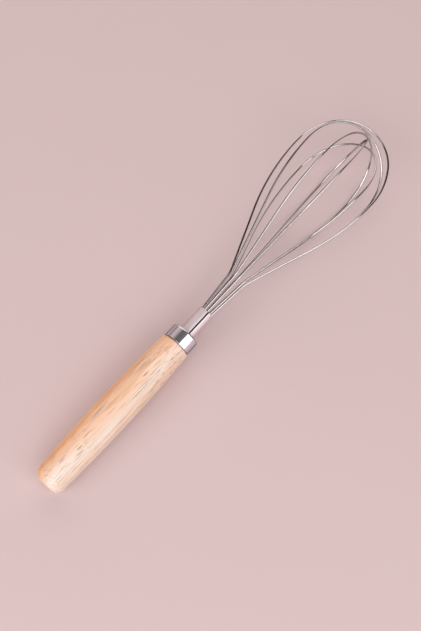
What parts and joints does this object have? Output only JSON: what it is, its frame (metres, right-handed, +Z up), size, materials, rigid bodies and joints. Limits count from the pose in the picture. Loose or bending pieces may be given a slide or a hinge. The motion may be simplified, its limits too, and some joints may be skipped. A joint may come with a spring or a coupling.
{
  "type": "balloon whisk",
  "caption": "Hand whisk: slim turned wooden grip, short bright metal ferrule, neck tube and a balloon of springy wire loops.",
  "frame": {"origin": "middle of the whisk's footprint, on the table that it lies on", "axes": "+X from the grip's butt to the balloon's tip along the whisk, whose axis rises 4.1 degrees from the butt as it rests, +Z up"},
  "size_m": [0.2843, 0.0597, 0.0548],
  "materials": {
    "wood": "pale close-grained hardwood, sanded, lightly oiled, matt",
    "ferrule": "drawn steel cap, bright chrome plated",
    "tube": "stainless sheet rolled into a tube, with a butt seam along it, satin",
    "pin": "plain cut steel rod",
    "resin": "dark cast resin",
    "wire": "drawn spring wire of stainless steel, bright polished"
  },
  "bodies": {
    "root": {"wooden_grip": "wood", "ferrule": "ferrule", "neck_tube": "tube", "core_pin": "pin", "resin_seal": "resin", "wire_loop_1": "wire", "wire_loop_2": "wire", "wire_loop_3": "wire", "wire_loop_4": "wire", "wire_loop_5": "wire"}
  },
  "joints": []
}
